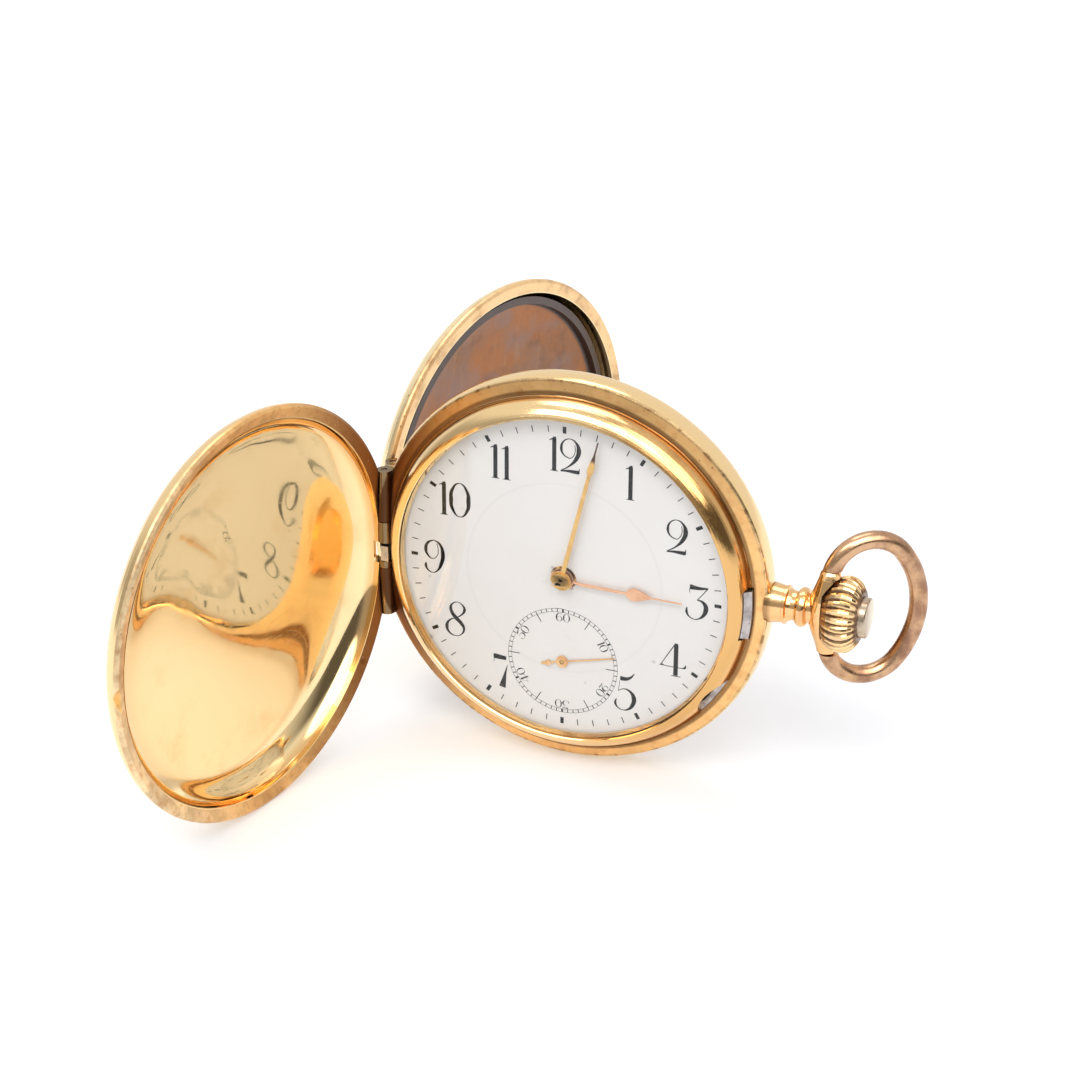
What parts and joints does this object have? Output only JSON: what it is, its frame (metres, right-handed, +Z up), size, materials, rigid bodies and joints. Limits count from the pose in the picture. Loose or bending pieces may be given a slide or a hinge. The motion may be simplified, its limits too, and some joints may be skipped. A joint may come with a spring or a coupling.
{
  "type": "full hunter pocket watch",
  "caption": "Open full-hunter pocket watch standing on its rims: hinged front and back covers, dust cover, sub-seconds dial, hands, geared movement, crown with push button and swinging bow",
  "frame": {"origin": "On the table directly under the middle of the dial, where the case band and both covers stand on their edges", "axes": "+X from the hinge through 3 o'clock to the crown and bow, +Y from the dial back through the movement, +Z up through 12 o'clock"},
  "size_m": [0.082, 0.1015, 0.052],
  "materials": {
    "case_middle": "polished",
    "pendant": "polished",
    "front_hinge_pin": "polished",
    "back_hinge_pin": "polished",
    "bezel": "polished",
    "crystal": "clear",
    "lift_spring": "polished",
    "spring_screws": "polished",
    "case_screws": "polished",
    "dial": "glazed",
    "main_plate": "nickel-plated",
    "barrel_bridge": "nickel-plated",
    "train_bridge": "nickel-plated",
    "balance_cock": "nickel-plated",
    "pallet_bridge": "nickel-plated",
    "bridge_screws": "blued",
    "jewels": "ruby",
    "winding_wheel_screws": "blued",
    "click_spring": "blued",
    "hairspring": "blued",
    "front_cover": "polished",
    "back_cover": "polished",
    "cuvette": "tarnished",
    "bow": "satin",
    "winding_pinion": "polished",
    "crown": "polished",
    "winding_stem": "polished",
    "push_button": "polished",
    "push_collar": "polished",
    "sliding_pinion": "polished",
    "setting_lever": "polished",
    "lock_spring": "polished",
    "minute_hand": "polished",
    "cannon_pinion": "polished",
    "hour_hand": "polished",
    "hour_wheel": "polished",
    "minute_wheel": "polished",
    "centre_wheel": "polished",
    "third_wheel": "polished",
    "fourth_wheel": "polished",
    "seconds_hand": "polished",
    "escape_wheel": "polished",
    "pallet_fork": "polished",
    "balance_wheel": "polished",
    "barrel": "polished",
    "mainspring": "blued",
    "ratchet_wheel": "polished",
    "crown_wheel": "polished",
    "click": "polished",
    "regulator": "polished"
  },
  "bodies": {
    "watch": {"case_middle": "case_middle", "pendant": "pendant", "front_hinge_pin": "front_hinge_pin", "back_hinge_pin": "back_hinge_pin", "bezel": "bezel", "crystal": "crystal", "lift_spring": "lift_spring", "spring_screws": "spring_screws", "case_screws": "case_screws", "dial": "dial", "main_plate": "main_plate", "barrel_bridge": "barrel_bridge", "train_bridge": "train_bridge", "balance_cock": "balance_cock", "pallet_bridge": "pallet_bridge", "bridge_screws": "bridge_screws", "jewels": "jewels", "winding_wheel_screws": "winding_wheel_screws", "click_spring": "click_spring", "hairspring": "hairspring"},
    "front_cover": {"front_cover": "front_cover"},
    "back_cover": {"back_cover": "back_cover"},
    "cuvette": {"cuvette": "cuvette"},
    "bow": {"bow": "bow"},
    "winding_pinion": {"winding_pinion": "winding_pinion"},
    "crown": {"crown": "crown", "winding_stem": "winding_stem"},
    "push_button": {"push_button": "push_button", "push_collar": "push_collar"},
    "sliding_pinion": {"sliding_pinion": "sliding_pinion"},
    "setting_lever": {"setting_lever": "setting_lever"},
    "lock_spring": {"lock_spring": "lock_spring"},
    "minute_work": {"minute_hand": "minute_hand", "cannon_pinion": "cannon_pinion"},
    "hour_work": {"hour_hand": "hour_hand", "hour_wheel": "hour_wheel"},
    "minute_wheel": {"minute_wheel": "minute_wheel"},
    "centre_wheel": {"centre_wheel": "centre_wheel"},
    "third_wheel": {"third_wheel": "third_wheel"},
    "fourth_wheel": {"fourth_wheel": "fourth_wheel", "seconds_hand": "seconds_hand"},
    "escape_wheel": {"escape_wheel": "escape_wheel"},
    "pallet_fork": {"pallet_fork": "pallet_fork"},
    "balance": {"balance_wheel": "balance_wheel"},
    "barrel": {"barrel": "barrel", "mainspring": "mainspring"},
    "ratchet_wheel": {"ratchet_wheel": "ratchet_wheel"},
    "crown_wheel": {"crown_wheel": "crown_wheel"},
    "click": {"click": "click"},
    "regulator": {"regulator": "regulator"}
  },
  "joints": [
    {"name": "front_cover_hinge", "type": "hinge", "parent": "watch", "child": "front_cover", "pos_m": [-0.0248, 0.0016, 0.026], "axis": [0, 0, 1], "range_deg": [0, 102]},
    {"name": "back_cover_hinge", "type": "hinge", "parent": "watch", "child": "back_cover", "pos_m": [-0.0248, 0.0043, 0.026], "axis": [0, 0, -1], "range_deg": [0, 73.7]},
    {"name": "cuvette_hinge", "type": "hinge", "parent": "watch", "child": "cuvette", "pos_m": [-0.0248, 0.0043, 0.026], "axis": [0, 0, -1], "range_deg": [0, 74.95]},
    {"name": "bow_swing", "type": "hinge", "parent": "watch", "child": "bow", "pos_m": [0.0328, 0.0035, 0.026], "axis": [0, 0, 1], "range_deg": [-128, 62]},
    {"name": "crown_turn", "type": "hinge", "parent": "watch", "child": "winding_pinion", "pos_m": [0.018, 0.0035, 0.026], "axis": [1, 0, 0], "continuous": true},
    {"name": "crown_pull", "type": "slide", "parent": "winding_pinion", "child": "crown", "axis": [1, 0, 0], "range_m": [0, 0.0009]},
    {"name": "sliding_pinion_shift", "type": "slide", "parent": "winding_pinion", "child": "sliding_pinion", "axis": [1, 0, 0], "range_m": [-0.00075, 0]},
    {"name": "button_press", "type": "slide", "parent": "crown", "child": "push_button", "axis": [1, 0, 0], "range_m": [-0.0006, 0], "stiffness_N_per_m": 1500, "springref_m": 0.0003},
    {"name": "lock_spring_flex", "type": "hinge", "parent": "watch", "child": "lock_spring", "pos_m": [0.01644, 0.0026, 0.00956], "axis": [0, 1, 0], "range_deg": [-1.2, 0]},
    {"name": "setting_lever_swing", "type": "hinge", "parent": "watch", "child": "setting_lever", "pos_m": [0.01605, 0.003, 0.0198], "axis": [0, 1, 0], "range_deg": [-8.6, 0]},
    {"name": "minute_turn", "type": "hinge", "parent": "watch", "child": "minute_work", "pos_m": [0, -0.001, 0.026], "axis": [0, 1, 0], "continuous": true},
    {"name": "hour_turn", "type": "hinge", "parent": "watch", "child": "hour_work", "pos_m": [0, -0.0005, 0.026], "axis": [0, 1, 0], "continuous": true},
    {"name": "minute_wheel_turn", "type": "hinge", "parent": "watch", "child": "minute_wheel", "pos_m": [-0.00334, 0.0017, 0.02366], "axis": [0, 1, 0], "continuous": true},
    {"name": "centre_turn", "type": "hinge", "parent": "watch", "child": "centre_wheel", "pos_m": [0, 0.0053, 0.026], "axis": [0, 1, 0], "continuous": true},
    {"name": "third_turn", "type": "hinge", "parent": "watch", "child": "third_wheel", "pos_m": [0.00436, 0.0049, 0.01944], "axis": [0, 1, 0], "continuous": true},
    {"name": "fourth_turn", "type": "hinge", "parent": "watch", "child": "fourth_wheel", "pos_m": [0, 0.0043, 0.0145], "axis": [0, 1, 0], "continuous": true},
    {"name": "escape_turn", "type": "hinge", "parent": "watch", "child": "escape_wheel", "pos_m": [-0.0047, 0.0048, 0.01621], "axis": [0, 1, 0], "continuous": true},
    {"name": "barrel_turn", "type": "hinge", "parent": "watch", "child": "barrel", "pos_m": [0.00721, 0.0035, 0.03321], "axis": [0, 1, 0], "continuous": true},
    {"name": "crown_wheel_turn", "type": "hinge", "parent": "watch", "child": "crown_wheel", "pos_m": [0.01355, 0.0067, 0.026], "axis": [0, 1, 0], "continuous": true},
    {"name": "ratchet_turn", "type": "hinge", "parent": "watch", "child": "ratchet_wheel", "pos_m": [0.00721, 0.0067, 0.03321], "axis": [0, 1, 0], "continuous": true},
    {"name": "fork_rock", "type": "hinge", "parent": "watch", "child": "pallet_fork", "pos_m": [-0.00782, 0.0048, 0.01801], "axis": [0, 1, 0], "range_deg": [-5, 5]},
    {"name": "balance_swing", "type": "hinge", "parent": "watch", "child": "balance", "pos_m": [-0.00997, 0.006, 0.02174], "axis": [0, 1, 0], "range_deg": [-270, 270]},
    {"name": "click_lift", "type": "hinge", "parent": "watch", "child": "click", "pos_m": [0.0024, 0.0072, 0.0412], "axis": [0, 1, 0], "range_deg": [0, 8], "stiffness_Nm_per_rad": 0.001},
    {"name": "regulator_shift", "type": "hinge", "parent": "watch", "child": "regulator", "pos_m": [-0.00997, 0.0075, 0.02174], "axis": [0, 1, 0], "range_deg": [-20, 20]}
  ],
  "couplings": [
    {"joint": "cuvette_hinge", "follows": "back_cover_hinge", "ratio": 1.0163},
    {"joint": "sliding_pinion_shift", "follows": "crown_pull", "ratio": -0.8},
    {"joint": "setting_lever_swing", "follows": "crown_pull", "rad_per_m": -160},
    {"joint": "lock_spring_flex", "follows": "button_press", "rad_per_m": 33},
    {"joint": "hour_turn", "follows": "minute_turn", "ratio": 0.083333},
    {"joint": "minute_wheel_turn", "follows": "minute_turn", "ratio": -0.33333},
    {"joint": "centre_turn", "follows": "minute_turn", "ratio": 1},
    {"joint": "third_turn", "follows": "minute_turn", "ratio": -8},
    {"joint": "fourth_turn", "follows": "minute_turn", "ratio": 60},
    {"joint": "escape_turn", "follows": "minute_turn", "ratio": -600},
    {"joint": "barrel_turn", "follows": "minute_turn", "ratio": -0.13333},
    {"joint": "crown_wheel_turn", "follows": "crown_turn", "ratio": -0.5},
    {"joint": "ratchet_turn", "follows": "crown_turn", "ratio": 0.3}
  ]
}
